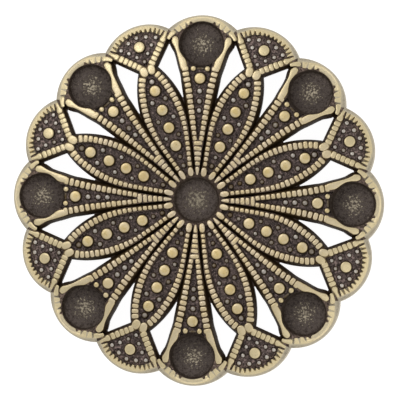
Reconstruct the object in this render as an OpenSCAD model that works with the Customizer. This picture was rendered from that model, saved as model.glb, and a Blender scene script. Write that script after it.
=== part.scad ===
// Scalloped openwork concho, cast in one piece, with eight stone cups round the rim,
// one in the middle, and a tapped boss behind it. Millimetres, +Z is the face,
// and the back of the rim rests on z = 0.

/* [Outline] */
// Diameter across two opposite scallops
overall_d = 45; // [44.5:0.1:45.5]
// Radius of one scallop of the edge
scallop_r = 5.62; // [5.55:0.01:5.75]
// Width of the plain rim band inside the edge
rim_w = 0.5; // [0.45:0.01:0.6]

/* [Dome] */
// Height of the crest of the face above the rest plane
crest_z = 5; // [4.8:0.1:5.6]
// Distance of the crest from the middle
crest_r = 12.5; // [12:0.1:13]
// Radius of the shallow dish inside the crest
dish_r = 95; // [85:1:150]
// Radius of the slope outside the crest
slope_r = 23.4; // [22.5:0.1:26]
// Distance from the middle at which the rim starts to turn down
bevel_r = 20.6; // [20.4:0.1:20.9]
// Angle of the turned-down rim below the horizontal
bevel_angle = 35; // [30:1:38]
// Height of the ropes and rims above the floors between them
relief_h = 0.5; // [0.4:0.05:0.6]
// Thickness of the plate below those floors
plate_t = 1.2; // [1:0.05:1.4]
// Depth of the blind grooves below those floors
groove_depth = 0.35; // [0.2:0.05:0.5]
// Width of the ledge that the ropes leave round the pierced gaps
ledge_w = 0.36; // [0.3:0.02:0.4]

/* [Petals] */
// Radius of the sides of a marquise petal, along the middle of its rope
marquise_r = 11.3; // [11.2:0.05:11.4]
// Distance of the widest place of a marquise petal from the middle
marquise_y = 10.92; // [10.8:0.02:11]
// Half width of a marquise petal at its widest, between the middles of its ropes
marquise_half_w = 2.06; // [2:0.01:2.1]
// Distance from the middle at which its sides become straight
marquise_straight_y = 8.25; // [8:0.05:8.5]
// Width of the ropes on the wide part of the petals
rope_w = 0.78; // [0.7:0.01:0.8]
// Width of the ropes near the middle
inner_rope_w = 0.58; // [0.5:0.01:0.62]
// Half width of a cup petal, outside its ropes, next to its cup
cup_petal_half_w = 2.18; // [2.1:0.01:2.25]
// Radius of the disc that closes the grooves between petals
web_r = 12.6; // [12.2:0.1:12.8]
// Radius of the big dots
dot_r = 0.68; // [0.6:0.01:0.7]

/* [Dotted scallops] */
// Distance of the point where the two ropes of the V meet
v_apex_y = 16.62; // [16.5:0.02:16.7]
// Angle of each rope of the V to the petal's axis
v_angle = 44.6; // [44:0.2:45.4]

/* [Stone cups] */
// Radius of the seat for a stone
seat_r = 2.75; // [2.65:0.01:2.8]
// Distance of the rim's seats from the middle
seat_y = 18.94; // [18.9:0.01:19]
// Height of the floor of the rim's seats
seat_floor_z = 2.2; // [2:0.05:2.4]
// Height of the lip of the rim's seats
seat_lip_z = 3.1; // [3:0.05:3.3]
// Thickness of the wall round a seat
seat_wall = 0.42; // [0.38:0.01:0.45]
// Height of the floor of the middle seat
middle_floor_z = 3.45; // [3.4:0.05:3.6]

/* [Back] */
// Thickness of the wall of the rim at the back
rim_wall = 1.3; // [1.1:0.05:1.4]
// Radius of the boss behind the middle
boss_r = 3.3; // [3:0.1:3.6]
// Clearance under the boss
boss_clearance = 0.2; // [0.1:0.05:0.3]
// Radius of the tapped hole for the screw
socket_r = 1.75; // [1.6:0.05:1.9]
// Depth of the tapped hole
socket_depth = 2.5; // [2.2:0.05:2.6]

/* [Hidden] */
$fn = 64;
petals = 8;
step = 360 / petals;
half_step = step / 2;
outer_r = overall_d / 2;
scallop_y = outer_r - scallop_r;
rim_inner_r = scallop_r - rim_w;
floor_shift = -relief_h;
web_shift = floor_shift - groove_depth;
back_shift = floor_shift - plate_t;
// Tall enough to pass every surface of the part
tall = 12;
below = 3;
// A straight side starts this far inside the arc that it follows
tuck = 0.02;
marquise_offset = marquise_r - marquise_half_w;
side_angle = asin((marquise_y - marquise_straight_y) / marquise_r);
// Radius of the ring that the petals end on, round the middle seat
hub_r = 3.35;
// Petals run in to here, under the middle seat
middle_y = 2.4;
// Distance of the widest place of a cup petal's ropes from the middle
cup_petal_y = 15.84;
// Distance of the outer tips of the pierced gaps from the middle
gap_outer_r = 19.3;
// The side strand of a cup bends here and ends in the rim
strand_bend = [3.12, 18.85];
strand_end = [3.3, 20];
strand_r = 0.38;
// The rim of a cup is solid from here out
cup_rim_y = 19.55;
// Distances of the big dots from the middle, on a marquise, a cup petal and a scallop
marquise_dots = [7.01, 9.35, 11.62, 14.11];
cup_petal_dot = 14.72;
scallop_dot = 19.84;
// Outside of a cup petal, half width and distance, from its cup to the middle
cup_petal_side = [
    [2.58, 17.1], [cup_petal_half_w, cup_petal_y], [0.62, 6.87], [0.3, 4.4],
    [0.25, middle_y]
];
// Floor of a cup petal, half width and distance, from its cup to its point
cup_floor_side = [[1.5, 16.6], [1.4, 15.84], [0.02, 7.1]];

casting_colour = "#a8935f";

// Height of the face at a distance from the middle
function face_z(r) =
    r < crest_r ? crest_z - dish_r + sqrt(dish_r ^ 2 - (crest_r - r) ^ 2)
    : r < bevel_r ? crest_z - slope_r + sqrt(slope_r ^ 2 - (r - crest_r) ^ 2)
    : face_z(bevel_r - tuck) - (r - bevel_r) * tan(bevel_angle);

// A closed outline from the points of its right side
function both_sides(side) =
    concat(side, [for (i = [len(side) - 1:-1:0]) [-side[i].x, side[i].y]]);

module round_petals(first_angle = 0)
    for (i = [0:petals - 1]) rotate(first_angle - i * step) children();

// Solid under the face, which is lowered by shift, down to z_low
module under_face(shift, z_low)
    intersection() {
        translate([0, 0, shift]) rotate_extrude($fn = 144) {
            intersection() {
                translate([crest_r, crest_z - dish_r]) circle(dish_r, $fn = 720);
                translate([0, -below]) square([crest_r, tall]);
            }
            intersection() {
                translate([crest_r, crest_z - slope_r]) circle(slope_r, $fn = 240);
                translate([crest_r, -below]) square([outer_r + 1 - crest_r, tall]);
                polygon([
                    [crest_r - 1, -below], [crest_r - 1, crest_z + 1], [bevel_r, crest_z + 1],
                    [bevel_r, face_z(bevel_r)],
                    [outer_r + 1, face_z(outer_r + 1)], [outer_r + 1, -below]
                ]);
            }
        }
        translate([0, 0, z_low]) cylinder(r = outer_r + 2, h = tall);
    }

// A plan carried up through the part
module upright(z_low = -1) translate([0, 0, z_low]) linear_extrude(tall) children();

// Sixteen discs of a radius round the edge, and the disc inside them
module scallops(r) {
    for (i = [0:2 * petals - 1]) rotate(i * half_step) translate([0, scallop_y]) circle(r);
    circle(scallop_y);
}

// A marquise petal, grown past the middle of its ropes by the two widths
module marquise(grow, inner_grow, y_low) {
    arc_r = marquise_r + grow;
    side_r = marquise_r + inner_grow - tuck;
    start = [side_r * cos(side_angle) - marquise_offset, marquise_y - side_r * sin(side_angle)];
    intersection_for (s = [-1, 1])
        translate([s * marquise_offset, marquise_y]) circle(arc_r, $fn = 180);
    polygon(both_sides([
        start, [start.x - (start.y - y_low) * tan(side_angle), y_low]
    ]));
}

// The V of a dotted scallop, with its point at a distance from the middle
module v_shape(y_low, r) {
    reach = outer_r - y_low;
    intersection() {
        translate([0, scallop_y]) circle(r);
        polygon([
            [0, y_low], [reach * tan(v_angle), outer_r], [-reach * tan(v_angle), outer_r]
        ]);
    }
}

// Distance along the axis that moves a rope of the V sideways by w
function along_v(w) = w / sin(v_angle);

module marquise_plan(ledge = 0)
    marquise(rope_w / 2 + ledge, inner_rope_w / 2 + ledge, middle_y);

module marquise_floor() marquise(-rope_w / 2, -inner_rope_w / 2, hub_r);

module dotted_scallop_plan(ledge = 0) v_shape(v_apex_y - along_v(rope_w / 2 + ledge), scallop_r);

module dotted_scallop_floor() v_shape(v_apex_y + along_v(rope_w / 2), rim_inner_r);

// A cup petal runs from the wall of its cup to the middle
module cup_petal_plan(ledge = 0) {
    polygon(both_sides([for (p = cup_petal_side) [p.x + ledge, p.y]]));
    translate([0, seat_y]) circle(seat_r + seat_wall + ledge);
    cup_shoulders(strand_r + ledge);
}

// Ends of the side strands, which join the cup to the rim
module cup_shoulders(r)
    for (s = [-1, 1]) scale([s, 1]) {
        translate(strand_bend) circle(r);
        polygon([
            [strand_bend.x - r, strand_bend.y], [strand_bend.x + r, strand_bend.y],
            [strand_end.x + r, strand_end.y], [strand_end.x - r, strand_end.y]
        ]);
    }

module cup_petal_floor() polygon(both_sides(cup_floor_side));

// Petals, scallops and cups in plan, with a ledge of some width round them
module petals_plan(ledge) {
    round_petals(half_step) {
        marquise_plan(ledge);
        dotted_scallop_plan(ledge);
    }
    round_petals() cup_petal_plan(ledge);
}

// Plan of everything that rises above the grooves
module raised_plan() {
    petals_plan(0);
    round_petals() intersection() {
        translate([0, scallop_y]) circle(scallop_r);
        translate([-strand_end.x - strand_r, cup_rim_y]) square(2 * (strand_end.x + strand_r));
    }
    difference() {
        scallops(scallop_r);
        scallops(rim_inner_r);
    }
    circle(hub_r);
}

// Floors between the ropes, cut from the raised plan
module floor_plans() {
    round_petals(half_step) {
        marquise_floor();
        dotted_scallop_floor();
    }
    round_petals() cup_petal_floor();
}

module petals_and_rims()
    intersection() {
        difference() {
            upright() raised_plan();
            difference() {
                upright() floor_plans();
                under_face(floor_shift, -1);
            }
            under_face(back_shift, -1);
        }
        under_face(0, -1);
    }

// The floor of the grooves between the petals, and the ledge round the gaps
module web()
    difference() {
        intersection() {
            upright() {
                circle(web_r);
                petals_plan(ledge_w);
                difference() {
                    scallops(scallop_r);
                    circle(gap_outer_r);
                }
            }
            under_face(web_shift, 0);
        }
        under_face(back_shift, -1);
    }

// The wall of the rim, which the part rests on
module rim_edge()
    intersection() {
        upright(0) difference() {
            scallops(scallop_r);
            scallops(scallop_r - rim_wall);
        }
        under_face(back_shift + plate_t / 2, 0);
    }

module dot(r)
    translate([0, r, face_z(r) + floor_shift - 0.1]) sphere(dot_r, $fn = 24);

module big_dots() {
    round_petals(half_step) {
        for (r = marquise_dots) dot(r);
        dot(scallop_dot);
    }
    round_petals() dot(cup_petal_dot);
}

// The walls of the rim's cups show as bosses on the back
module cup_walls()
    round_petals() translate([0, seat_y, seat_floor_z - 0.6])
        cylinder(r = seat_r + seat_wall, h = seat_lip_z - seat_floor_z + 0.6);

// Bores for the nine stones
module seats() {
    round_petals() translate([0, seat_y, seat_floor_z]) cylinder(r = seat_r, h = tall);
    translate([0, 0, middle_floor_z]) cylinder(r = seat_r, h = tall);
}

module back_boss()
    translate([0, 0, boss_clearance]) cylinder(r = boss_r, h = middle_floor_z - boss_clearance + 0.2);

module socket()
    translate([0, 0, boss_clearance - 1]) cylinder(r = socket_r, h = socket_depth + 1);

module casting()
    color(casting_colour) difference() {
        union() {
            petals_and_rims();
            web();
            rim_edge();
            big_dots();
            cup_walls();
            back_boss();
        }
        seats();
        socket();
    }

casting();
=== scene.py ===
"""Visual model of a cast concho in antique brass.

The frame holds the casting: plate, rails, cups, grooves, pierced gaps and back. This script
gives it a patina, and lays the fine relief on it: drafted rails, milgrain beads, dots, side
strands, a fluted rim and dished seats. Lengths are metres in the panel and in the meshes, and
millimetres in between. +Z is the face, and +Y passes through one stone cup. Angles round the
middle are clockwise from +Y, seen from the face.

Every new surface has two marks on its points: wear, 1 where the brass is buffed bright, and
soot, 1 where black patina has gathered. On the rim's band the wear is also lowered as painted
shade, in a cup's middle and towards the cusps.
"""

import math
from types import SimpleNamespace

import bpy
import numpy as np
from bpy.props import FloatProperty, FloatVectorProperty, PointerProperty
from bpy.types import Operator, Panel, PropertyGroup
from mathutils import Matrix, Vector


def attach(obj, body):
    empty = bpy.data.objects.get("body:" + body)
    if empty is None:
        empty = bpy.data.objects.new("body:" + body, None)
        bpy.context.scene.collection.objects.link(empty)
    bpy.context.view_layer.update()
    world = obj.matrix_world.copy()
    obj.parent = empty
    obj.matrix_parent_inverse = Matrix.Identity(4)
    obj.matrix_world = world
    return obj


bl_info = {
    "name": "Cast concho",
    "version": (1, 0, 0),
    "blender": (4, 5, 0),
    "location": "View3D > Sidebar > Concho",
    "description": "Dresses a concho's casting with milgrain, dots, a fluted rim and patina",
    "category": "Object",
}

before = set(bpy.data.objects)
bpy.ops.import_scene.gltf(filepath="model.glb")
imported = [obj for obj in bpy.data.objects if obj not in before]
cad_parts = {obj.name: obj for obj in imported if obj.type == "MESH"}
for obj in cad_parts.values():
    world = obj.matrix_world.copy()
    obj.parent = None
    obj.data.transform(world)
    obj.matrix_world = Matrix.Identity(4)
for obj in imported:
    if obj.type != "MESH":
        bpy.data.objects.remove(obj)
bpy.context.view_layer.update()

MM = 0.001
BODY = "root"
MARKS = ("wear", "soot")
PETALS = 8
STEP = 2 * math.pi / PETALS

# Points along the line of a rope, round a strand, and round a seat
LINE_STEPS = 400
STRAND_SIDES = 16
SEAT_SIDES = 80


def number(name, description, default, **kind):
    """A number with a name and a description."""
    return FloatProperty(name=name, description=description, default=default, **kind)


def length(name, description, millimetres):
    """A size in metres whose default is given in millimetres."""
    return number(name, description, millimetres * MM, unit="LENGTH", precision=5)


def angle(name, description, degrees):
    """An angle in radians whose default is given in degrees."""
    return number(name, description, math.radians(degrees), subtype="ANGLE")


def colour(name, description, red, green, blue):
    """A linear colour whose default is given as it looks on screen, from 0 to 255."""
    screen = [channel / 255 for channel in (red, green, blue)]
    linear = [c / 12.92 if c <= 0.04045 else ((c + 0.055) / 1.055) ** 2.4 for c in screen]
    return FloatVectorProperty(
        name=name, description=description, default=linear, size=3, subtype="COLOR",
        min=0.0, max=1.0,
    )


class DomeSizes(PropertyGroup):
    """The face that every piece is laid on, as in the casting."""

    crest_height: length("Crest height", "Height of the rails at the crest of the dome", 5.0)
    crest_radius: length("Crest radius", "Distance of the crest from the middle", 12.5)
    dish_radius: length("Dish radius", "Radius of the shallow dish inside the crest", 95.0)
    slope_radius: length("Slope radius", "Radius of the slope outside the crest", 23.4)
    bevel_radius: length("Bevel radius", "Distance at which the rim turns down", 20.6)
    bevel_angle: angle("Bevel angle", "Angle of the turned-down rim", 35.0)
    relief: length("Relief", "Height of the rails above the floors", 0.5)
    plate: length("Plate", "Thickness of the plate from the rail tops to its back", 1.7)
    ledge: length("Ledge", "Width of the sloping ledge round a gap", 0.36)


class RopeSizes(PropertyGroup):
    """Milgrain beads and the rails that they stand on."""

    rise: length("Rise", "Height of the bead tops above the rails", 0.1)
    shoulder: length("Shoulder", "Depth below the rail tops at which a bead starts to round", 0.1)
    foot: length("Foot", "Depth below the rail tops to which a bead goes down", 0.45)
    marquise_pitch: length("Marquise pitch", "Pitch of the beads on a marquise petal", 0.621)
    marquise_gap: length("Marquise gap", "Gap between the beads on a marquise petal", 0.08)
    cup_petal_pitch: length("Cup petal pitch", "Pitch of the beads on a cup petal", 0.64)
    cup_petal_gap: length("Cup petal gap", "Gap between the beads on a cup petal", 0.07)
    v_pitch: length("V pitch", "Pitch of the beads on the V of a scallop", 0.605)
    v_gap: length("V gap", "Gap between the beads on the V of a scallop", 0.015)
    fillet: length("Fillet", "Radius of the hollow at the foot of a rail", 0.2)


class PetalSizes(PropertyGroup):
    """Lines that the ropes follow, along their middles."""

    marquise_radius: length("Marquise radius", "Radius of the sides of a marquise petal", 11.3)
    marquise_middle: length("Marquise middle", "Distance of its widest place", 10.92)
    marquise_half_width: length("Marquise half width", "Half width at its widest place", 2.06)
    marquise_straight: length("Marquise straight", "Distance where its sides go straight", 8.25)
    v_apex: length("V apex", "Distance of the point where the ropes of a V meet", 16.62)
    v_angle: angle("V angle", "Angle of each rope of a V to its axis", 44.6)


class RimSizes(PropertyGroup):
    """The fluted band round the sixteen scallops."""

    scallop_radius: length("Scallop radius", "Radius of one scallop of the edge", 5.62)
    scallop_centre: length("Scallop centre", "Distance of a scallop's centre", 16.88)
    skin: length("Skin", "How far the band stands outside the casting", 0.02)
    band_edge: length("Band edge", "Radius, in a scallop, where the top of the band starts", 5.34)
    tooth_tip: length("Tooth tip", "Radius, in a scallop, of the tips of the teeth", 4.65)
    bar_tip: length("Bar tip", "Radius, in a scallop, of the tips of a cup's side bars", 4.45)
    rise: length("Rise", "Height of the band above the casting", 0.1)
    notch_depth: length("Notch depth", "Depth of the notches between the teeth", 0.52)
    notch_width: length("Notch width", "Width of a notch at the tips of its teeth", 0.34)


class SeatSizes(PropertyGroup):
    """Empty seats for stones."""

    radius: length("Seat radius", "Radius of a seat", 2.75)
    lip_height: length("Lip height", "Lowest height of the lip of a seat in the rim", 3.1)
    lip_radius: length("Lip radius", "Outer radius of the wall of a seat", 3.17)
    circle: length("Seat circle", "Distance of the rim's seats from the middle", 18.94)
    floor_height: length("Seat floor", "Height of the floors of the rim's seats", 2.2)
    middle_floor: length("Middle seat floor", "Height of the floor of the middle seat", 3.45)
    draft: length("Draft", "How far the wall of a seat leans in at its foot", 0.24)


class FinishColours(PropertyGroup):
    """Antique brass, from the bottom of its grooves to its buffed tops."""

    soot: colour("Soot", "Black in the grooves and on the walls of the gaps", 53, 39, 22)
    floor: colour("Floor", "Grey-brown on the floors", 105, 91, 86)
    rail: colour("Rail", "Brown between the beads", 96, 76, 44)
    top: colour("Top", "Buffed brass on the tops", 230, 212, 174)
    gold: colour("Gold", "Yellower brass in patches on the tops", 218, 194, 136)
    edge: colour("Edge", "Dull brass on the rounded edge of the rim", 198, 187, 162)
    bead: colour("Bead", "Buffed brass on the beads, less yellow", 226, 209, 180)
    bead_gold: colour("Bead gold", "Yellower brass in patches on the beads", 217, 196, 151)
    # Painted highlight: brass painted paler round the rim, where its slopes catch glare
    rim: colour("Rim", "Paler brass round the rim", 233, 216, 173)
    dull: colour("Dull", "Grey metal on the small dots", 212, 204, 194)
    wall: colour("Wall", "Dull metal on the outer wall", 181, 171, 150)
    seat: colour("Seat", "Grey on the floors of the seats", 118, 107, 102)
    lining: colour("Lining", "Brown in the seats", 88, 78, 70)
    scuff: colour("Scuff", "Scuffed metal in the middle of the seats", 192, 180, 157)


class StageSettings(PropertyGroup):
    """Camera, floor and lights."""

    picture_width: number("Picture width", "In pixels", 400.0)
    pixel: length("Pixel", "Size of one pixel at the concho", 0.121)
    middle_x: number("Middle across", "Where the axis meets the face, in pixels", 196.05)
    middle_y: number("Middle down", "Where the axis meets the face, in pixels", 199.77)
    turn: angle("Turn", "Clockwise turn of the concho in the picture", 1.75)
    tilt: angle("Tilt", "Lean of the camera from straight above", 5.2)
    tilt_heading: angle("Tilt heading", "Lean's direction, clockwise from picture right", 16.0)
    distance: length("Distance", "From the camera to the concho", 800.0)
    key: number("Key", "Power of the main light", 0.8, unit="POWER")
    fill: number("Fill", "Power of the second light", 0.3, unit="POWER")
    sky: number("Sky", "Strength of the even light", 0.53)
    sheet: number("Sheet", "Glow of the white sheet", 0.95)


# Each group is kept on the scene as concho_ and its key
SETTINGS = {
    "dome": DomeSizes,
    "ropes": RopeSizes,
    "petals": PetalSizes,
    "rim": RimSizes,
    "seats": SeatSizes,
    "finish": FinishColours,
    "stage": StageSettings,
}


# How far beads vary: in heading, in shares of width and of length, in height, in share of wear
UNEVEN_HEADING = 0.08
UNEVEN_WIDTH = 0.07
UNEVEN_LENGTH = 0.05
UNEVEN_TOP = 0.015
UNEVEN_WEAR = 0.04

# How much more a V's ropes are worn between their beads than the other ropes
V_WEAR = 2.7

# Where a rope's line starts and ends, in distance from the middle, and how many beads it holds
MARQUISE_RUN = (15.885, 4.0, 20)
CUP_PETAL_RUN = (15.84, 7.1, 14)

# Where a V's beads start, in distance from its apex, how many they are, and their width
V_RUN = (1.2, 5)
V_BEAD_WIDTH = 0.84

# Distance from the middle and width of beads: down the ropes, and merged on a cup petal's axis
MARQUISE_BEADS = [
    [4.4, 0.5], [6.5, 0.54], [8.25, 0.55], [9.25, 0.62], [10, 0.71], [11.2, 0.82], [15.2, 0.85],
    [15.9, 0.93],
]
CUP_PETAL_BEADS = [
    [7.4, 0.55], [8.7, 0.63], [9.4, 0.69], [9.95, 0.7], [11.9, 0.79], [13.2, 0.86], [14.2, 0.87],
    [15.0, 0.91],
]
MERGED_BEADS = [[6.86, 1.2], [6.22, 0.96], [5.61, 0.86], [5.0, 0.74], [4.4, 0.62]]

# Length of the merged beads
MERGED_LENGTH = 0.544

# The parabola of a cup petal's rope: the distance from the middle at which it begins, and its
# distance from the axis, its slope and its bend there
CUP_PETAL_START = 7.47
CUP_PETAL_OFFSET = 0.41
CUP_PETAL_SLOPE = 0.135
CUP_PETAL_BEND = 0.00335

# Distance from the middle, and how far from a cup petal's axis its cast rail reaches there
CUP_PETAL_EDGE = [
    [6.87, 0.62], [15.84, 2.24], [17.1, 2.6], [17.6, 2.85], [18.1, 3.13], [18.5, 3.4],
    [18.9, 3.63], [19.2, 3.72],
]

# x, y and width along the smooth strands: beside a cup from its beads to the rim, the last bead
# of a V as it narrows into the rim, a cup's last bar as it bends in to the gap, and the point
# in which a cup petal's beads end
BESIDE_CUP = [
    [1.93, 15.62, 0.86], [2.0, 16.0, 0.9], [2.14, 16.55, 0.96], [2.27, 16.86, 0.92],
    [2.43, 17.15, 0.75], [2.72, 17.75, 0.5], [2.86, 18.1, 0.46], [2.96, 18.38, 0.51],
    [3.05, 18.66, 0.62], [3.15, 18.97, 0.8], [3.23, 19.26, 0.92], [3.25, 19.84, 0.6],
]
V_END = [
    [2.78, 19.44, 0.74], [3.03, 19.73, 0.78], [3.28, 19.99, 0.48], [3.49, 20.23, 0.42],
    [3.8, 20.6, 0.38],
]
CUP_END = [
    [3.36, 20.54, 0.62], [3.5, 20.32, 0.72], [3.66, 20.13, 0.66], [3.82, 19.93, 0.57],
    [3.97, 19.7, 0.51], [4.11, 19.36, 0.46],
]
PETAL_POINT = [[0, 4.04, 0.5], [0, 3.75, 0.52], [0, 3.4, 0.4], [0, 2.98, 0.2]]

# Degrees that a scallop's band reaches to each side of its middle, and the points along it
BAND_REACH = 47.5
BAND_STEPS = 211

# Degrees from the middle of a scallop, outer end, depth and darkness of each notch in its band
NOTCHES = {
    "fan": [
        [3.4, 5.06, 0.9, 0.92], [9.3, 5.07, 0.9, 0.92], [16.3, 5.13, 0.9, 0.9],
        [23.4, 5.2, 0.9, 0.88], [30.0, 5.28, 0.85, 0.84], [36.4, 5.32, 0.8, 0.8],
        [42.7, 5.36, 1.0, 0.95],
    ],
    "cup": [
        [17.3, 5.02, 1.0, 1.0], [24.4, 5.16, 0.17, 0.8], [33.2, 5.32, 0.15, 0.5],
        [41.8, 5.36, 0.17, 0.8],
    ],
}

# Degrees from the middle of a fan, and how far out the tips of its teeth are moved there
TOOTH_TIPS = [[0, 0.1], [8, 0.06], [14, 0], [26, 0], [33, -0.1], [39, -0.2]]

# Distances of the big dots from the middle: four in a marquise petal and one in the scallop
# past it, and one in a cup petal
MARQUISE_BIG_DOTS = [7.01, 9.35, 11.62, 14.11, 19.84]
CUP_PETAL_BIG_DOT = 14.72

# x, y, heading, half width and half length of the bead beside a cup's foot, and of the bar below
CUP_BEAD = (0.86, 15.9, 0, 0.33, 0.33)
CUP_BAR = (0, 15.96, 0, 0.5, 0.16)

# x, y, brightness and size of the small dots
SCALLOP_DOTS = [
    [0, 21.1, 0.84, 0.9], [1.15, 20.8, 0.9, 0.92], [2.27, 20.28, 0.88, 0.9],
    [1.47, 19.58, 0.8, 0.87], [0.7, 18.77, 0.7, 0.85], [0, 17.95, 0.7, 0.88],
]
MARQUISE_DOTS = [
    [0, 15.31, 0.6, 1.2], [0.85, 12.85, 0.65, 1.05], [0.99, 10.43, 0.62, 0.95],
    [0.81, 8.21, 0.57, 0.87], [0, 5.62, 0.53, 0.87], [0, 4.46, 0.5, 1],
]
CUP_PETAL_DOTS = [[0, 13.19, 0.68, 1.15], [0, 11.95, 0.68, 1.15], [0, 10.83, 0.67, 1.1]]

# Name, place and size of each light, in metres
LIGHTS = [("key", (-0.2, 0.26, 0.42), 0.3), ("fill", (0.3, -0.2, 0.35), 0.4)]


def sizes(scene, *names):
    """For each named group, its lengths in millimetres and its angles in radians."""
    found = []
    for name in names:
        group = getattr(scene, "concho_" + name)
        numbers = {}
        for key, field in group.bl_rna.properties.items():
            if field.type == "FLOAT" and not field.is_array:
                numbers[key] = getattr(group, key) * (1 / MM if field.unit == "LENGTH" else 1.0)
        found.append(SimpleNamespace(**numbers))
    return found


class Part:
    """Points in millimetres, faces, and the marks of each point: wear and soot."""

    def __init__(self, points, faces, wear, soot):
        self.points = points
        self.faces = faces
        self.marks = np.stack(np.broadcast_arrays(wear, soot), -1).reshape(-1, 2)

    @staticmethod
    def joined(parts):
        """One part from several."""
        starts = np.cumsum([0] + [len(part.points) for part in parts])
        faces = [f + start for part, start in zip(parts, starts) for f in part.faces]
        marks = np.concatenate([part.marks for part in parts])
        return Part(np.concatenate([part.points for part in parts]), faces, *marks.T)

    @staticmethod
    def carried(points, wear, soot):
        """A part whose rows of points are the sections of it in turn, with both ends closed."""
        count, sides = points.shape[:2]
        end = np.arange(sides)[None]
        faces = [grid_quads(count, sides), end[:, ::-1], end + (count - 1) * sides]
        wear, soot = (np.broadcast_to(mark, (count, sides)) for mark in (wear, soot))
        return Part(points.reshape(-1, 3), faces, wear, soot)

    def turned(self, turn):
        """The part turned clockwise round the middle."""
        cos, sin = math.cos(turn), math.sin(turn)
        matrix = np.array([[cos, -sin, 0], [sin, cos, 0], [0, 0, 1]])
        return Part(self.points @ matrix, self.faces, *self.marks.T)

    def both_sides(self):
        """The part and its mirror image across its petal's axis, with all faces outwards."""
        faces = [f[:, ::-1] for f in self.faces]
        return Part.joined([self, Part(self.points * [-1, 1, 1], faces, *self.marks.T)])

    def round_petals(self, first=0.0):
        """The part once on each of the eight petals."""
        return Part.joined([self.turned(first + k * STEP) for k in range(PETALS)])


def root(value):
    """The square root, of numbers or in a shader."""
    return value.maths("SQRT", value) if isinstance(value, Shade) else np.sqrt(value)


def above(value, edge):
    """1 where the value is over the edge and 0 elsewhere, for numbers or in a shader."""
    if isinstance(value, Shade):
        return value.maths("GREATER_THAN", value, edge)
    return np.where(value > edge, 1.0, 0.0)


def face_height(radius, dome):
    """Height of the rail tops at a distance r from the middle, for numbers or in a shader.

    Up to the bevel it is crest - R + sqrt(R^2 - (r - crest radius)^2), where R is the dish's
    radius inside the crest and the slope's outside it. Past the bevel it falls by tan(angle).
    """

    def arc(big_radius, r):
        offset = r - dome.crest_radius
        return root(big_radius**2 - offset * offset) + (dome.crest_height - big_radius)

    bevel = dome.bevel_radius
    inside, outside = arc(dome.dish_radius, radius), arc(dome.slope_radius, radius)
    falling = arc(dome.slope_radius, bevel) - (radius - bevel) * math.tan(dome.bevel_angle)
    past_crest, past_bevel = above(radius, dome.crest_radius), above(radius, bevel)
    return inside + past_crest * (outside - inside) + past_bevel * (falling - outside)


def on_face(x, y, lift, dome):
    """Points at x, y, and a lift above the rail tops."""
    return np.stack([x, y, face_height(np.hypot(x, y), dome) + lift], -1)


def between(value, table):
    """The second column of a table where the first has a value, in straight lines between rows."""
    return np.interp(value, *np.array(table).T)


def rows(x, y, heading, half_width, half_length):
    """Beads as rows of x, y, heading, half width and half length."""
    return np.stack(np.broadcast_arrays(x, y, heading, half_width, half_length), -1).reshape(-1, 5)


def travelled(x, y):
    """Distance along a line of points, from its first point to each."""
    return np.concatenate([[0], np.cumsum(np.hypot(np.diff(x), np.diff(y)))])


def along(x, y, distances):
    """Places and headings at distances along a line of dense points x, y."""
    heading = np.unwrap(np.arctan2(np.gradient(x), np.gradient(y)))
    return [np.interp(distances, travelled(x, y), values) for values in (x, y, heading)]


def smooth_line(points, samples):
    """A Catmull-Rom curve through the rows of points, with equal steps of its parameter."""
    padded = np.concatenate([2 * points[:1] - points[1:2], points, 2 * points[-1:] - points[-2:-1]])
    t = np.linspace(0, len(points) - 1 - 1e-9, samples)
    i = t.astype(int)
    f = (t - i)[:, None]
    a, b, c, d = (padded[i + k] for k in range(4))
    return 0.5 * (
        2 * b + (c - a) * f + (2 * a - 5 * b + 4 * c - d) * f**2 + (3 * b - 3 * c + d - a) * f**3
    )


def smooth_step(value, low, high):
    """0 below low, 1 above high, and 3t^2 - 2t^3 between them."""
    t = np.clip((value - low) / (high - low), 0, 1)
    return t * t * (3 - 2 * t)


def grid_quads(count, sides):
    """Quads of a grid of count rings with sides points each, joined round.

    They face outwards where rings go up and points go anticlockwise.
    """
    ring = np.arange(count - 1)[:, None] * sides
    this = np.arange(sides)
    following = (this + 1) % sides
    corners = [ring + this, ring + following, ring + sides + following, ring + sides + this]
    return np.stack(corners, -1).reshape(-1, 4)


def ring_faces(count, sides, copies=1):
    """Faces of pieces whose points are count rings of sides points each, then two poles.

    Triangles close the first ring onto the first pole and the last ring onto the second.
    """
    this = np.arange(sides)
    following = (this + 1) % sides
    last = (count - 1) * sides
    pole = np.full(sides, count * sides)
    caps = [[following, this, pole], [last + this, last + following, pole + 1]]
    caps = np.concatenate([np.stack(corners, -1) for corners in caps])
    starts = (count * sides + 2) * np.arange(copies)[:, None, None]
    return [(f + starts).reshape(-1, f.shape[-1]) for f in (grid_quads(count, sides), caps)]


def pillow(square, flat, levels, sides):
    """A pillow's points and grid: angle a round it, and elevation e from its shoulder to its top.

    Across is cos(e)^flat * cos(a)^square, along is cos(e)^flat * sin(a)^square, both with their
    signs, and up is sin(e)^flat. A foot ring at up = -1 and two poles close it. Its last column
    is the wear: least at the shoulder, most near the edge of the top, and less in its middle.
    """
    a = np.linspace(0, 2 * math.pi, sides, endpoint=False)
    e = np.linspace(0, math.pi / 2, levels, endpoint=False)
    plan = np.stack([np.sign(f) * np.abs(f) ** square for f in (np.cos(a), np.sin(a))], -1)
    reach = np.append(1.0, np.cos(e) ** flat)
    up = np.append(-1.0, np.sin(e) ** flat)
    wear = np.clip((1 - reach) / 0.08, 0.1, 1)
    wear[0] = 0
    rings = [
        np.column_stack([r * plan, np.full((sides, 2), (u, w))]) for r, u, w in zip(reach, up, wear)
    ]
    poles = [[0, 0, -1, 0], [0, 0, 1, 0.84]]
    return np.concatenate([*rings, poles]), (len(up), sides)


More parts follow.
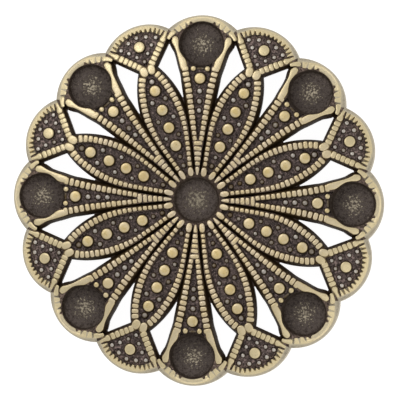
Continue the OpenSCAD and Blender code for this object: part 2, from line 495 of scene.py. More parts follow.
def lay_pillows(beads, shape, dome, top, shoulder, foot, seed, fresh=1.0):
    """Pillows laid on the dome, one for each row of beads, each a little uneven.

    A point goes across and along its bead's heading. Its height is the face's height there,
    plus a lift: from the shoulder to the top as up goes from 0 to 1, and the foot at -1.
    """
    points, grid = shape
    x, y, heading, half_width, half_length = beads.T[..., None]
    uneven = np.random.default_rng(seed).uniform(-1, 1, (4, len(beads), 1))
    heading = heading + UNEVEN_HEADING * uneven[0]
    across = points[:, 0] * half_width * (1 + UNEVEN_WIDTH * uneven[1])
    ahead = points[:, 1] * half_length * (1 + UNEVEN_LENGTH * uneven[2])
    x = x + across * np.cos(heading) + ahead * np.sin(heading)
    y = y - across * np.sin(heading) + ahead * np.cos(heading)
    up = points[:, 2]
    top = top + UNEVEN_TOP * uneven[3]
    lift = np.where(up < 0, foot, shoulder + up * (top - shoulder))
    wear = points[:, 3] * fresh * (1 - UNEVEN_WEAR + UNEVEN_WEAR * uneven[3])
    faces = ring_faces(*grid, len(beads))
    return Part(on_face(x, y, lift, dome).reshape(-1, 3), faces, wear, 1.0)


def both_beads(beads):
    """Rows of beads and their mirror image across the petal's axis."""
    return np.concatenate([beads, beads * [-1, 1, -1, 1, 1]])


def round_beads(beads, first=0.0):
    """Rows of beads once on each of the eight petals."""
    turns = first + STEP * np.arange(PETALS)[:, None]
    x, y, heading, half_width, half_length = np.moveaxis(beads[None], -1, 0)
    cos, sin = np.cos(turns), np.sin(turns)
    return rows(x * cos + y * sin, y * cos - x * sin, heading + turns, half_width, half_length)


def lathed(profile, sides, centres, dome, fresh=1.0):
    """Round pieces on the dome from rows of radius, lift, wear and soot, from foot to top.

    The point at angle a of a ring is its centre plus radius times (cos a, sin a), at the height
    of the face there plus the lift. The fifth number of a centre scales its radii. The profile's
    first and last points close onto poles.
    """
    a = np.linspace(0, 2 * math.pi, sides, endpoint=False)
    radius, *marks = np.array(profile).T
    across, ahead = (np.append(np.outer(radius, f), [0, 0]) for f in (np.cos(a), np.sin(a)))
    lift, wear, soot = (np.append(np.repeat(m, sides), [m[0], m[-1]]) for m in marks)
    x, y, scale = (centres[:, k, None] for k in (0, 1, 4))
    points = on_face(x + scale * across, y + scale * ahead, lift, dome).reshape(-1, 3)
    wear = wear * np.broadcast_to(fresh, len(centres))[:, None]
    return Part(points, ring_faces(len(profile), sides, len(centres)), wear, soot)


def columns(along_part, section):
    """The columns of a section's rows, each as one row for every place along the part."""
    return [np.stack(np.broadcast_arrays(along_part, *column)[1:], -1) for column in zip(*section)]


def swept(line, section, dome):
    """A closed section of offsets, lifts, wear and soot, carried along a line.

    Point j of ring i is the line's point i moved to the right of the line's direction by
    offsets[i, j], at the height of the face there plus lifts[i, j]. The section goes up on its
    left, over its top and down on its right. Both ends are closed.
    """
    offsets, lifts, wear, soot = section
    tangent = np.gradient(line[:, :2], axis=0)
    tangent /= np.linalg.norm(tangent, axis=1, keepdims=True)
    x = line[:, :1] + offsets * tangent[:, 1:]
    y = line[:, 1:2] - offsets * tangent[:, :1]
    return Part.carried(on_face(x, y, lifts, dome), wear, soot)


def strand(points, samples, dome, rope):
    """A smooth strand with a flattened round section, through rows of x, y and width.

    At angle a of the section the sideways offset is half the width times cos(a)^0.6, and the
    lift goes from the shoulder to the top as sin(a)^0.6 over the upper half, and down to the
    foot over the lower half. Both ends close by a quarter circle of half a width.
    """
    line = smooth_line(np.array(points), samples)
    half = line[:, 2:] / 2
    run = travelled(*line[:, :2].T)[:, None]
    to_end = np.minimum(run / half[0], (run[-1] - run) / half[-1])
    closing = np.sqrt(1 - (1 - np.clip(to_end, 0.004, 1)) ** 2)
    a = np.linspace(math.pi, -math.pi, STRAND_SIDES, endpoint=False)
    sin = np.sin(a)
    across, up = (np.abs(f) ** 0.6 for f in (np.cos(a), sin))
    top = -rope.shoulder + (rope.rise + rope.shoulder) * up * closing**0.5
    bottom = -rope.shoulder - (rope.foot - rope.shoulder) * up
    wear = np.clip((1 - across) / 0.26, 0, 1) * (sin > 0) * np.clip(closing * 1.6 - 0.4, 0, 1)
    offsets = half * closing * np.sign(np.cos(a)) * across
    return swept(line, (offsets, np.where(sin >= 0, top, bottom), wear, 1.0), dome)


def rail_section(dome, rope, half_left, half_right, ledge):
    """The section of a drafted rail, as offsets, lifts, wear and soot.

    From the left: a hollow of a quarter circle from the floor up, the flat top, and on the
    right a slope down the ledge and the wall of the gap. It closes inside the casting.
    """
    hollow = rope.fillet
    left, right = -half_left, half_right
    foot = left - hollow
    floor = 0.006 - dome.relief
    # Offset, lift, wear and soot of each point
    section = [
        [foot + hollow * math.sin(bend), floor + hollow * (1 - math.cos(bend)), 0, soot]
        for bend, soot in zip(np.linspace(0, math.pi / 2, 4), (0, 0.35, 0.8, 1))
    ]
    section += [
        [left - 0.012, -0.08, 0.08, 1], [left + 0.06, 0.012, 0.17, 1],
        [right - 0.06, 0.012, 0.17, 1], [right + 0.012, -0.1, 0.08, 1],
        [right + 0.1, -0.42, 0, 1], [right + 0.75 * ledge, -0.74, 0, 1],
        [right + ledge, -0.96, 0, 1], [right + ledge + 0.02, 0.01 - dome.plate, 0, 1],
        [right, -1.6, 0, 1], [foot, -0.62, 0, 1],
    ]
    return columns(left, section)


def in_scene(scene, name, data):
    """A new object of the scene, from a mesh, a light or a camera."""
    added = bpy.data.objects.new(name, data)
    scene.collection.objects.link(added)
    return added


def add_piece(scene, name, finish, *parts):
    """A smooth-shaded mesh in one of the finishes, which rides on the casting's body."""
    part = Part.joined(parts)
    mesh = bpy.data.meshes.new(name)
    faces = [face for group in part.faces for face in group.tolist()]
    mesh.from_pydata((part.points * MM).tolist(), [], faces)
    mesh.shade_smooth()
    for mark, values in zip(MARKS, part.marks.T):
        layer = mesh.attributes.new(mark, "FLOAT", "POINT")
        layer.data.foreach_set("value", values.astype(np.float32))
    mesh.materials.append(finish_named(scene, finish))
    piece = in_scene(scene, name, mesh)
    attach(piece, BODY)


class Shade:
    """A value that varies over a surface: a socket of a material's node tree."""

    # Numpy's numbers leave sums with a value to this class
    __array_ufunc__ = None

    def __init__(self, tree, socket=None):
        self.tree = tree
        self.socket = socket

    def node(self, kind, settings=None, inputs=None, output=0):
        """Adds a node, sets its settings, then its sockets, and returns one output."""
        node = self.tree.nodes.new(kind)
        for key, value in (settings or {}).items():
            setattr(node, key, value)
        for key, value in (inputs or {}).items():
            if isinstance(value, Shade):
                self.tree.links.new(value.socket, node.inputs[key])
            else:
                node.inputs[key].default_value = value
        return Shade(self.tree, node.outputs[output])

    def maths(self, operation, *values):
        """The outcome of a Math node."""
        return self.node("ShaderNodeMath", {"operation": operation}, dict(enumerate(values)))

    def __add__(self, other):
        return self.maths("ADD", self, other)

    def __radd__(self, other):
        return self.maths("ADD", other, self)

    def __sub__(self, other):
        return self.maths("SUBTRACT", self, other)

    def __rsub__(self, other):
        return self.maths("SUBTRACT", other, self)

    def __mul__(self, other):
        return self.maths("MULTIPLY", self, other)

    def __rmul__(self, other):
        return self.maths("MULTIPLY", other, self)

    def ramp(self, low, high):
        """0 below low, 1 above high, and smooth between them. Low may be the larger."""
        ends = {"From Min": low, "From Max": high, "Value": self}
        return self.node("ShaderNodeMapRange", {"interpolation_type": "SMOOTHSTEP"}, ends)

    def mix(self, low, high):
        """A colour from low to high, by this value."""
        low, high = (c if isinstance(c, Shade) else (*c, 1.0) for c in (low, high))
        return self.node("ShaderNodeMix", {"data_type": "RGBA"}, {0: self, 6: low, 7: high}, 2)


def noise(place, scale, detail, roughness):
    """Noise whose scale is in cells a millimetre."""
    inputs = {"Vector": place, "Scale": scale, "Detail": detail, "Roughness": roughness}
    return place.node("ShaderNodeTexNoise", None, inputs)


def in_millimetres(tree):
    """The surface's place on the object, in millimetres."""
    place = tree.node("ShaderNodeTexCoord", None, None, "Object")
    return tree.node("ShaderNodeVectorMath", {"operation": "SCALE"}, {0: place, "Scale": 1 / MM})


def radius_and_height(place):
    """Distance of a place from the middle, and its height."""
    split = place.node("ShaderNodeSeparateXYZ", None, {0: place}).socket.node.outputs
    x, y, z = (Shade(place.tree, socket) for socket in split)
    return root(x * x + y * y), z


def scaled(tone, factor):
    """A colour times a factor."""
    return [c * factor for c in tone]


def aged_metal(scene, name, marks, ground, brown, bright, grit=0.2):
    """Cast metal under patina.

    The function marks gives wear and soot for a place. Soot blackens the mottled ground colour,
    and wear brings up brown brass, then buffed metal with patches, pits and a fine grain. Grit
    is how far the wear is broken up.
    """
    material = bpy.data.materials.new(name)
    material.use_nodes = True
    shader = material.node_tree.nodes["Principled BSDF"]
    shader.inputs["Specular IOR Level"].default_value = 0.15
    tree = Shade(material.node_tree)
    place = in_millimetres(tree)
    wear, soot = marks(tree, place)
    cloud = noise(place, scale=0.7, detail=3.0, roughness=0.6)
    blotch = noise(place, scale=2.8, detail=4.0, roughness=0.65)
    grain = noise(place, scale=8.0, detail=4.0, roughness=0.7)
    speck = noise(place, scale=3.6, detail=3.0, roughness=0.6)
    radius = radius_and_height(place)[0]
    dark, pale = (scaled(ground[0], factor) for factor in ground[1:])
    floor = (blotch * 0.5 + grain * 0.5).ramp(0.4, 0.58).mix(dark, ground[0])
    # Outside the petals the floors have more pale specks
    floor = ((speck + radius.ramp(15.5, 18.0) * 0.035).ramp(0.53, 0.7) * 0.85).mix(floor, pale)
    # Tops are yellower in patches and where they are worn least, and painted paler towards the rim
    # as a highlight
    tops = (cloud.ramp(0.38, 0.62) * 0.6 + (1 - wear) * 2.5).mix(*bright[:2])
    tops = radius.ramp(12.5, 21.0).mix(tops, bright[2])
    tops = blotch.ramp(0.6, 0.8).mix(tops, scaled(bright[1], 0.5))
    tops = (grain.ramp(0.52, 0.7) * 0.4).mix(tops, scaled(bright[1], 0.6))
    uneven = wear + (blotch - 0.5) * 0.3 + (speck - 0.5) * grit
    buffed = uneven.ramp(0.36, 0.78)
    tint = soot.mix(floor, scene.concho_finish.soot)
    tint = uneven.ramp(0.02, 0.4).mix(tint, brown)
    relief = {"Strength": 0.4, "Distance": 0.06 * MM, "Height": grain + blotch * 0.6}
    sockets = {
        "Base Color": buffed.mix(tint, tops),
        "Metallic": 0.2 + buffed * 0.65,
        "Roughness": 0.6 - buffed * 0.16 + (grain - 0.5) * 0.15,
        "Normal": tree.node("ShaderNodeBump", None, relief),
    }
    for key, value in sockets.items():
        tree.tree.links.new(value.socket, shader.inputs[key])
    return material


def marked(tree, place):
    """Wear and soot from a piece's own marks."""
    return [
        tree.node("ShaderNodeAttribute", {"attribute_name": mark}, None, "Fac") for mark in MARKS
    ]


def finish_named(scene, name):
    """One of the concho's finishes, made when it is first asked for."""
    found = bpy.data.materials.get(name)
    if found:
        return found
    finish = scene.concho_finish
    dome = sizes(scene, "dome")[0]

    def by_height(tree, place):
        """The casting is black in its grooves, on its walls and round the middle seat."""
        radius, height = radius_and_height(place)
        lift = height - face_height(radius, dome)
        normal = tree.node("ShaderNodeNewGeometry", None, None, "Normal")
        facing = tree.node("ShaderNodeSeparateXYZ", None, {0: normal}, 2)
        face = lift.ramp(-1.2, -0.8)
        wall = facing.ramp(0.75, 0.35) * face
        groove = lift.ramp(-0.55, -0.72) * face * 0.6
        hub = radius.ramp(3.9, 3.3) * face * 0.6
        soot = 1 - (1 - wall) * (1 - groove) * (1 - hub)
        return lift.ramp(-0.3, 0.1) * radius.ramp(3.3, 3.9) * 0.16 * face, soot

    # Marks, ground with its darker and paler shares, brown, bright colours, and any grit. The last
    # bright colour is a painted highlight: paler brass towards the rim
    floor = (finish.floor, 0.14, 2.7)
    wall = (finish.wall, 0.75, 1.2)
    seat = (finish.seat, 0.3, 2.5)
    brass = (finish.top, finish.gold, finish.rim)
    bead = (finish.bead, finish.bead_gold, finish.rim)
    # Painted highlight: the band is painted paler still, where it slopes away from the lights
    band = (finish.rim, finish.top, scaled(finish.rim, 1.08))
    dull = (finish.dull, scaled(finish.dull, 0.75), finish.dull)
    scuff = (finish.scuff, scaled(finish.scuff, 0.6), finish.scuff)
    makers = {
        "cast_brass": (by_height, floor, finish.rail, brass),
        "buffed_brass": (marked, floor, finish.rail, brass),
        "bead_brass": (marked, floor, finish.rail, bead),
        "rim_brass": (marked, wall, finish.edge, band),
        "dull_brass": (marked, floor, finish.rail, dull),
        "seat_metal": (marked, seat, finish.lining, scuff, 2.3),
    }
    return aged_metal(scene, name, *makers[name])


def tip_shift(y):
    """How far a marquise petal's rope is moved out towards the outer tip."""
    return 0.09 * smooth_step(y, 13.6, 15.0)


def marquise_line(petals, y):
    """Distance of a marquise petal's rope from its axis, and the slope of its straight part.

    It is an arc, then straight below it. Smooth steps move it out a little towards the outer
    tip and in the lower half.
    """
    radius = petals.marquise_radius
    offset = radius - petals.marquise_half_width
    below = petals.marquise_middle - petals.marquise_straight
    arc = np.sqrt(radius**2 - (y - petals.marquise_middle) ** 2) - offset
    arc_end = math.sqrt(radius**2 - below**2) - offset
    slope = below / math.sqrt(radius**2 - below**2)
    straight = arc_end - (petals.marquise_straight - y) * slope
    moved = tip_shift(y) + 0.05 * smooth_step(y, 4.4, 6.5) * smooth_step(y, 9.4, 7.6)
    return np.where(y > petals.marquise_straight, arc, straight) + moved, slope


def cup_petal_line(y):
    """Distance of a cup petal's rope from its axis: a parabola, moved out towards the cup."""
    run = y - CUP_PETAL_START
    curve = CUP_PETAL_OFFSET + CUP_PETAL_SLOPE * run + CUP_PETAL_BEND * run**2
    return curve + 0.08 * smooth_step(y, 13.2, 15.4)


def v_line(petals, distances):
    """Places along the right rope of a V, at distances from its apex."""
    sin, cos = math.sin(petals.v_angle), math.cos(petals.v_angle)
    return distances * sin, petals.v_apex + distances * cos


class CONCHO_OT_casting(Operator):
    """Give the casting its patina."""

    bl_idname = "concho.casting"
    bl_label = "Finish the casting"

    def execute(self, context):
        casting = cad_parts["casting"]
        casting.data.materials.clear()
        casting.data.materials.append(finish_named(context.scene, "cast_brass"))
        return {"FINISHED"}


class CONCHO_OT_rails(Operator):
    """Draft the rails: hollows at their feet inside, and sloping ledges round the gaps."""

    bl_idname = "concho.rails"
    bl_label = "Rails"

    def execute(self, context):
        dome, rope, petals = sizes(context.scene, "dome", "ropes", "petals")
        inner = Part.joined([self.marquise(dome, rope, petals), self.fan(dome, rope, petals)])
        inner = inner.both_sides().round_petals(STEP / 2)
        outer = self.cup_petal(dome, rope).both_sides().round_petals()
        add_piece(context.scene, "rails", "buffed_brass", inner, outer)
        return {"FINISHED"}

    def marquise(self, dome, rope, petals):
        """One side of a marquise petal."""
        y = np.linspace(3.25, 16.72, 90)
        half = 0.3 + 0.1 * smooth_step(y, 7.5, 10.5)
        # Where a rope is moved out, its ledge is narrower, and the gap stays as it is
        section = rail_section(dome, rope, half, half, dome.ledge - tip_shift(y))
        return swept(np.stack([marquise_line(petals, y)[0], y], -1), section, dome)

    def cup_petal(self, dome, rope):
        """One side of a cup petal, and on beside the cup to the outer tip of the gap."""
        y = np.linspace(7.2, 15.7, 12)
        width = between(y, [[8.7, 0.62], [15.8, 0.86]])
        beaded = np.stack([cup_petal_line(y), y, width], -1)
        line = smooth_line(np.concatenate([beaded[:-1], BESIDE_CUP[1:]]), 150)
        x, y, width = line.T
        half = width / 2
        outside = (between(y, CUP_PETAL_EDGE) - x) * (1 - 0.07 * smooth_step(y, 16.6, 17.6))
        right = np.maximum(half, np.where(y < 17.1, outside, 0)) + 0.02
        # The ledge goes out to the casting's own round the tip of the gap
        ledge = dome.ledge - 0.09 * smooth_step(y, 14.4, 15.8)
        reach = np.maximum(half, outside) + 0.02 + ledge + 0.03 * smooth_step(y, 17.2, 18.0)
        section = rail_section(dome, rope, half, right, reach - right)
        # Beside the cup the hollow gives way to the cup's own wall
        hollow = [0, 1, 2, 3, -1]
        beside = smooth_step(y, 15.3, 15.9)[:, None]
        section[0][:, hollow] += beside * (0.03 - section[0][:, hollow] - half[:, None])
        return swept(line, section, dome)

    def fan(self, dome, rope, petals):
        """One rope of a V."""
        line = np.stack(v_line(petals, np.linspace(-0.05, 5.0, 26)), -1)
        half = np.full(len(line), 0.4)
        section = rail_section(dome, rope, half, half - 0.02, dome.ledge)
        section[2] = section[2] * V_WEAR
        return swept(line, section, dome)


class CONCHO_OT_ropes(Operator):
    """Lay the milgrain beads of the marquise petals, the cup petals and the Vs."""

    bl_idname = "concho.ropes"
    bl_label = "Beaded ropes"

    def execute(self, context):
        dome, rope, petals = sizes(context.scene, "dome", "ropes", "petals")
        ropes = {
            "marquise_ropes": self.marquise(rope, petals),
            "cup_petal_ropes": self.cup_petal(rope),
            "v_ropes": self.fan(rope, petals),
        }
        heights = {"top": rope.rise, "shoulder": -rope.shoulder, "foot": -rope.foot}
        # Long beads at the ends are rounder in plan than the others
        shapes = [pillow(square, flat=0.42, levels=4, sides=16) for square in (0.57, 0.85)]
        for seed, (name, groups) in enumerate(ropes.items()):
            parts = [
                lay_pillows(beads, shape, dome, **heights, seed=seed)
                for beads, shape in zip(groups, shapes)
            ]
            add_piece(context.scene, name, "bead_brass", *parts)
        return {"FINISHED"}

    def marquise(self, rope, petals):
        """Beads down each side from the outer tip, then a long one at each end."""
        start, end, count = MARQUISE_RUN
        y = np.linspace(start, end, LINE_STEPS)
        x, slope = marquise_line(petals, y)
        places = along(x, y, np.arange(count) * rope.marquise_pitch)
        half_width = between(places[1], MARQUISE_BEADS) / 2
        gap = rope.marquise_gap * between(places[1], [[8, 1.1], [15, 0.75]])
        ropes = rows(*places, half_width, (rope.marquise_pitch - gap) / 2)
        inner_ends = rows(0.56, 3.43, math.atan(slope), 0.36, 0.6)
        outer_ends = rows(0.485, 16.74, 0.12, 0.495, 0.63)
        ends = np.concatenate([inner_ends, outer_ends])
        return [round_beads(both_beads(beads), STEP / 2) for beads in (ropes, ends)]

    def cup_petal(self, rope):
        """Beads down each side from the cup, which merge on the axis and end in a point."""
        start, end, count = CUP_PETAL_RUN
        y = np.linspace(start, end, LINE_STEPS)
        order = np.arange(count)
        spread = 0.2 * smooth_step(order, 0.5, 5.5)
        places = along(cup_petal_line(y), y, order * rope.cup_petal_pitch + spread)
        half_width = between(places[1], CUP_PETAL_BEADS) / 2
        half_length = (rope.cup_petal_pitch - rope.cup_petal_gap) / 2
        ropes = both_beads(rows(*places, half_width, half_length))
        y, width = np.array(MERGED_BEADS).T
        merged = rows(0, y, 0, width / 2, MERGED_LENGTH / 2)
        return [round_beads(np.concatenate([ropes, merged]))]

    def fan(self, rope, petals):
        """Beads out along each rope of the V."""
        start, count = V_RUN
        x, y = v_line(petals, start + np.arange(count) * rope.v_pitch)
        half_length = (rope.v_pitch - rope.v_gap) / 2
        ropes = rows(x, y, petals.v_angle, V_BEAD_WIDTH / 2, half_length)
        return [round_beads(both_beads(ropes), STEP / 2)]


class CONCHO_OT_side_strands(Operator):
    """Sweep the smooth strands beside the cups, and the long beads where scallops meet."""

    bl_idname = "concho.side_strands"
    bl_label = "Side strands"

    def execute(self, context):
        dome, rope = sizes(context.scene, "dome", "ropes")
        beside_cup, v_end, cup_end, point = (
            strand(points, samples, dome, rope)
            for points, samples in ((BESIDE_CUP, 72), (V_END, 36), (CUP_END, 32), (PETAL_POINT, 24))
        )
        by_cups = Part.joined([beside_cup, cup_end]).both_sides().round_petals()
        by_fans = v_end.both_sides().round_petals(STEP / 2)
        points = point.round_petals()
        add_piece(context.scene, "side_strands", "bead_brass", by_cups, by_fans, points)
        return {"FINISHED"}


def band_inner_edge(kind, p, size, rim, seats):
    """Radius of a band's inner edge at angle p: the tips of its teeth, or the bore of its cup."""
    if kind == "fan":
        return rim.tooth_tip + between(size, TOOTH_TIPS)
    lead = seats.circle - rim.scallop_centre
    bore = lead * np.cos(p) + np.sqrt(seats.radius ** 2 - (lead * np.sin(p)) ** 2)
    return np.maximum(bore + 0.03 + 0.06 * smooth_step(size, 12, 17), rim.bar_tip)


def notch_marks(kind, size, here, edge, inner, rim):
    """Depth and darkness of a band's notches at the radius here.

    A notch is a V in plan: its half width grows in a straight line from its outer end to the
    tips of the teeth, and its depth is a smooth step of the distance to it. The last one goes
    on to the cusp.
    """
    # A fan's notches fade towards their outer ends
    fading = 0.4 if kind == "fan" else 1.0
    narrow = 0.03
    depth, darkness = np.zeros((2, len(size)))
    for middle, end, deep, dark in NOTCHES[kind]:
        opening = np.clip((end - here) / (end - inner + 1e-6), 0, 1)
        half = narrow + (rim.notch_width / 2 - narrow) * opening
        away = np.radians(np.abs(size - middle)) * here
        cut = smooth_step(half + 0.05 - away, 0, 0.1) * smooth_step(end - here, 0, 0.1)
        cut = cut * (fading + (1 - fading) * smooth_step(opening, 0, 0.55))
        depth = np.maximum(depth, deep * cut)
        darkness = np.maximum(darkness, dark * cut)
    past = smooth_step(size, middle, middle + 1.4) * smooth_step(edge - here, 0.02, 0.14)
    return np.maximum(depth, deep * past), np.maximum(darkness, dark * past)


def rim_band(kind, rim, seats, dome):
    """The band of one scallop, as a section carried round the scallop's centre.

    At angle p the section goes up the outer wall, over a rounded edge whose height follows
    sin^0.35 over a quarter turn, and in across the notched top to the inner edge.
    """
    p = np.radians(np.linspace(-BAND_REACH, BAND_REACH, BAND_STEPS))
    size = np.abs(np.degrees(p))
    outer = rim.scallop_radius + rim.skin
    inner = band_inner_edge(kind, p, size, rim, seats)
    # Towards the cusps the top of the band starts further in, and the edge is darker: patina, and
    # painted shade where the next scallop shades it
    edge = rim.band_edge - 0.13 * smooth_step(size, 20, 38)
    cusp = 1 - 0.6 * smooth_step(size, 22, 40)
    # A cup's band lies flatter in its middle and catches more light, so shade is painted there by
    # lowering its wear
    painted_shade_buff = 1.0 if kind == "fan" else 0.56 + 0.26 * smooth_step(size, 12, 28)
    drop = 0.2
    # Reach from the scallop's centre, lift and wear of each point of the section
    section = [[outer - 0.35, 0, 0], [outer - 0.03, 0, 0.1], [outer, 0, 0.3]]
    worn = [cusp * w for w in (0.1, 0.18, 0.26, 0.36)] + [cusp**0.5 * w for w in (0.5, 0.75)]
    for bend, wear in zip(np.linspace(0, math.pi / 2, 6), worn):
        lift = (drop + rim.rise) * math.sin(bend) ** 0.35 - drop
        section.append([outer - (outer - edge) * (1 - math.cos(bend)), lift, wear])
    for share in np.linspace(0, 1, 10)[1:]:
        here = edge + (inner - edge) * share
        depth, darkness = notch_marks(kind, size, here, edge, inner, rim)
        rounding = 0.06 * max(0, (share - 0.8) / 0.2) ** 2
        lift = rim.rise - rim.notch_depth * depth - rounding
        section.append([here, lift, painted_shade_buff * (1 - darkness)])
    section.append([inner - 0.02, -0.7, 0])
    reach, lift, wear = columns(p, section)
    x = reach * np.sin(p)[:, None]
    y = rim.scallop_centre + reach * np.cos(p)[:, None]
    z = face_height(np.hypot(x, y), dome)
    if kind == "cup":
        lip = seats.lip_radius
        beside = smooth_step(np.hypot(x, y - seats.circle), lip + 0.2, lip - 0.05)
        z = z + beside * np.maximum(seats.lip_height - z, 0)
    z = z + lift
    # The outer wall starts just above the sheet
    z[:, :3] = 0.02, 0.02, 0.06
    soot = [0] * 6 + [0.1, 0.5] + [0.92] * 10 + [1]
    return Part.carried(np.stack([x, y, z], -1), wear, soot)


class CONCHO_OT_fluted_rim(Operator):
    """Carry the fluted band round the sixteen scallops."""

    bl_idname = "concho.fluted_rim"
    bl_label = "Fluted rim"

    def execute(self, context):
        groups = sizes(context.scene, "rim", "seats", "dome")
        cups = rim_band("cup", *groups).round_petals()
        fans = rim_band("fan", *groups).round_petals(STEP / 2)
        add_piece(context.scene, "fluted_rim", "rim_brass", cups, fans)
        return {"FINISHED"}


class CONCHO_OT_dots(Operator):
    """Set the big dots and the small ones round them."""

    bl_idname = "concho.dots"
    bl_label = "Dots"

    def execute(self, context):
        scene = context.scene
        dome, rope = sizes(scene, "dome", "ropes")
        floor, top = -dome.relief, rope.rise
        in_marquises = round_beads(rows(0, MARQUISE_BIG_DOTS, 0, 1, 1), STEP / 2)
        big = np.concatenate([in_marquises, round_beads(rows(0, CUP_PETAL_BIG_DOT, 0, 1, 1))])
        # Radius, lift, wear and soot, from the hollow at the foot to the top
        profile = [
            [0.86, floor - 0.05, 0, 0], [0.86, floor + 0.004, 0, 0], [0.8, floor + 0.012, 0, 0.5],
            [0.74, floor + 0.04, 0, 0.9], [0.7, floor + 0.12, 0, 1], [0.685, floor + 0.35, 0, 1],
            [0.67, top - 0.14, 0.12, 1], [0.64, top - 0.06, 0.6, 1], [0.58, top - 0.015, 1, 1],
            [0.44, top + 0.005, 0.98, 1], [0.25, top + 0.015, 0.84, 1],
        ]
        add_piece(scene, "big_dots", "buffed_brass", lathed(profile, 28, big, dome))
        add_piece(scene, "small_dots", "dull_brass", *self.small(dome, floor))
        round_bead = pillow(square=1.0, flat=0.6, levels=4, sides=14)
        beads = lay_pillows(
            round_beads(both_beads(rows(*CUP_BEAD))), round_bead, dome,
            top=0.04, shoulder=-0.2, foot=floor - 0.06, seed=30,
        )
        add_piece(scene, "cup_beads", "buffed_brass", beads)
        return {"FINISHED"}

    def small(self, dome, floor):
        """Low discs, duller nearer the middle, and the bar below each cup."""
        profile = [
            [0.4, floor - 0.05, 0, 0], [0.4, floor + 0.004, 0, 0], [0.34, floor + 0.02, 0, 0.9],
            [0.3, floor + 0.1, 0.1, 1], [0.26, floor + 0.2, 0.8, 1], [0.17, floor + 0.25, 1, 1],
        ]
        uneven = np.random.default_rng(4)
        parts = []
        for first, dots in ((STEP / 2, SCALLOP_DOTS + MARQUISE_DOTS), (0.0, CUP_PETAL_DOTS)):
            x, y, bright, size = np.array(dots).T
            centres = rows(x, y, 0, bright, size)
            mirrored = centres[centres[:, 0] > 0] * [-1, 1, 1, 1, 1]
            centres = round_beads(np.concatenate([centres, mirrored]), first)
            fresh = centres[:, 3] + uneven.uniform(-0.12, 0.12, len(centres))
            parts.append(lathed(profile, 12, centres, dome, fresh))
        bars = lay_pillows(
            round_beads(rows(*CUP_BAR)), pillow(square=0.7, flat=0.8, levels=3, sides=16), dome,
            top=-0.28, shoulder=-0.42, foot=-0.6, seed=20, fresh=0.5,
        )
        return [*parts, bars]


class CONCHO_OT_seats(Operator):
    """Line the nine seats with leaning walls and dished floors."""

    bl_idname = "concho.seats"
    bl_label = "Seats"

    def execute(self, context):
        seats, dome = sizes(context.scene, "seats", "dome")
        # The middle seat stands higher, and is worn more
        rim_seat = seat_lining(seats.circle, seats.floor_height, seats, dome, 0.54)
        middle = seat_lining(0.0, seats.middle_floor, seats, dome, 0.66)
        add_piece(context.scene, "seats", "seat_metal", rim_seat.round_petals(), middle)
        return {"FINISHED"}


def seat_lining(centre, floor, seats, dome, worn):
    """The inside of one seat, on the +Y axis at a distance from the middle, worn in its middle.

    Rings of points at angle a. The top ring follows the face, and the wall leans in from it to
    the floor by a smooth step. The floor is a parabola that sinks to its middle.
    """
    a = np.linspace(0, 2 * math.pi, SEAT_SIDES, endpoint=False)
    cos, sin = np.cos(a), np.sin(a)
    wall = seats.radius + 0.02
    foot = seats.radius - seats.draft
    top = face_height(np.hypot(wall * cos, centre + wall * sin), dome) - 0.03
    if centre > 0:
        top = np.maximum(top, seats.lip_height - 0.03)
    under, middle = floor - 0.05, floor + 0.03
    # Radius, height, wear and soot of each ring, from under the lining up, in and to the middle
    rings = [[wall, under, 0, 1]]
    for drop in np.linspace(0, 1, 6):
        ring = wall + (foot - wall) * smooth_step(drop, 0, 1.15)
        rings.append([ring, top + (floor + 0.16 - top) * drop**1.2, 0.05, 0.75])
    rings += [[foot - 0.02, floor + 0.13, 0.12, 0.5], [foot - 0.09, floor + 0.105, 0.02, 0.55]]
    for ring in np.linspace(foot - 0.14, 0.1, 13):
        share = ring / foot
        wear = worn * (1 - smooth_step(share, 0.05, 0.95))
        rings.append([ring, middle + 0.07 * share**2, wear, 0.55 * share**2])
    reach, height, wear, soot = (column.T for column in columns(a, rings))
    points = np.stack([reach * cos, centre + reach * sin, height], -1).reshape(-1, 3)
    points = np.concatenate([points, [[0, centre, under], [0, centre, middle]]])
    wear, soot = (np.append(mark, [mark[0, 0], mark[-1, 0]]) for mark in (wear, soot))
    return Part(points, ring_faces(len(rings), SEAT_SIDES), wear, soot)


class CONCHO_OT_stage(Operator):
    """Make the floor, the lights and the camera."""

    bl_idname = "concho.stage"
    bl_label = "Stage"

    def execute(self, context):
        scene = context.scene
        scene.view_settings.view_transform = "Standard"
        make_floor(scene)
        make_world(scene)
        face = Vector((0, 0, scene.concho_dome.crest_height))
        for name, place, size in LIGHTS:
            make_light(scene, name, Vector(place), size, getattr(scene.concho_stage, name), face)
        make_camera(scene, face)
        return {"FINISHED"}


def make_floor(scene):
    """A wide white sheet that glows a little, as on a light table."""
    half = 2.0
    mesh = bpy.data.meshes.new("floor")
    corners = [(-half, -half, 0), (half, -half, 0), (half, half, 0), (-half, half, 0)]
    mesh.from_pydata(corners, [], [(0, 1, 2, 3)])
    material = bpy.data.materials.new("white_sheet")
    material.use_nodes = True
    sockets = {
        "Base Color": (0.3, 0.3, 0.3, 1),
        "Roughness": 0.9,
        "Emission Color": (1, 1, 1, 1),
        "Emission Strength": scene.concho_stage.sheet,
    }
    for key, value in sockets.items():
        material.node_tree.nodes["Principled BSDF"].inputs[key].default_value = value
    mesh.materials.append(material)
    floor = in_scene(scene, "floor", mesh)


def make_world(scene):
    """Even white light from all round."""
    world = bpy.data.worlds.new("studio")
    world.use_nodes = True
    background = world.node_tree.nodes["Background"]
    background.inputs["Color"].default_value = (1, 1, 1, 1)
    background.inputs["Strength"].default_value = scene.concho_stage.sky
    scene.world = world


def make_light(scene, name, place, size, watts, target):
    """A square soft light that faces a target."""
    light = bpy.data.lights.new(name, "AREA")
    light.size = size
    light.energy = watts
    lamp = in_scene(scene, name, light)
    lamp.location = place
    lamp.rotation_euler = (target - place).to_track_quat("-Z", "Y").to_euler()


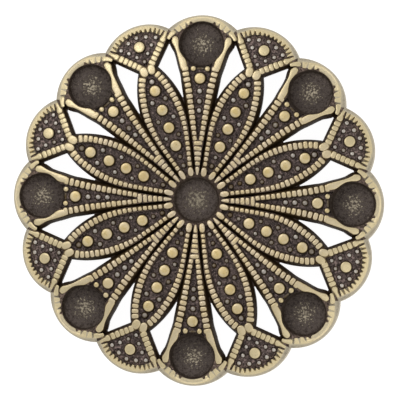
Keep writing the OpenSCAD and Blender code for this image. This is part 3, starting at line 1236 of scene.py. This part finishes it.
def make_camera(scene, target):
    """A long lens nearly above the face. The axis meets the face at the picture's middle point."""
    stage = scene.concho_stage
    up = Vector((-math.sin(stage.turn), math.cos(stage.turn), 0))
    right = Vector((math.cos(stage.turn), math.sin(stage.turn), 0))
    lean = right * math.cos(stage.tilt_heading) - up * math.sin(stage.tilt_heading)
    back = lean * math.sin(stage.tilt) + Vector((0, 0, math.cos(stage.tilt)))
    across = up.cross(back).normalized()
    upward = back.cross(across)
    half = stage.picture_width / 2
    aim = (
        target
        + across * (half - stage.middle_x) * stage.pixel
        - upward * (half - stage.middle_y) * stage.pixel
    )
    lens = bpy.data.cameras.new("camera")
    lens.lens = lens.sensor_width * stage.distance / (stage.picture_width * stage.pixel)
    lens.clip_start = 0.01
    turn = Matrix((across, upward, back)).transposed()
    scene.camera = in_scene(scene, "camera", lens)
    scene.camera.matrix_world = Matrix.Translation(aim + back * stage.distance) @ turn.to_4x4()


OPERATORS = [
    CONCHO_OT_casting,
    CONCHO_OT_rails,
    CONCHO_OT_ropes,
    CONCHO_OT_side_strands,
    CONCHO_OT_fluted_rim,
    CONCHO_OT_dots,
    CONCHO_OT_seats,
    CONCHO_OT_stage,
]


class CONCHO_PT_pieces(Panel):
    """The pieces of the concho, in the order in which they are made."""

    bl_label = "Concho"
    bl_space_type = "VIEW_3D"
    bl_region_type = "UI"
    bl_category = "Concho"

    def draw(self, context):
        for operator in OPERATORS:
            self.layout.operator(operator.bl_idname)


def register():
    for cls in (*SETTINGS.values(), *OPERATORS, CONCHO_PT_pieces):
        bpy.utils.register_class(cls)
    for name, cls in SETTINGS.items():
        setattr(bpy.types.Scene, "concho_" + name, PointerProperty(type=cls))


def unregister():
    for name in SETTINGS:
        delattr(bpy.types.Scene, "concho_" + name)
    for cls in (CONCHO_PT_pieces, *OPERATORS, *SETTINGS.values()):
        bpy.utils.unregister_class(cls)


def main():
    """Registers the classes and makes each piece."""
    register()
    for operator in OPERATORS:
        group, name = operator.bl_idname.split(".")
        getattr(getattr(bpy.ops, group), name)()


if __name__ == "__main__":
    main()
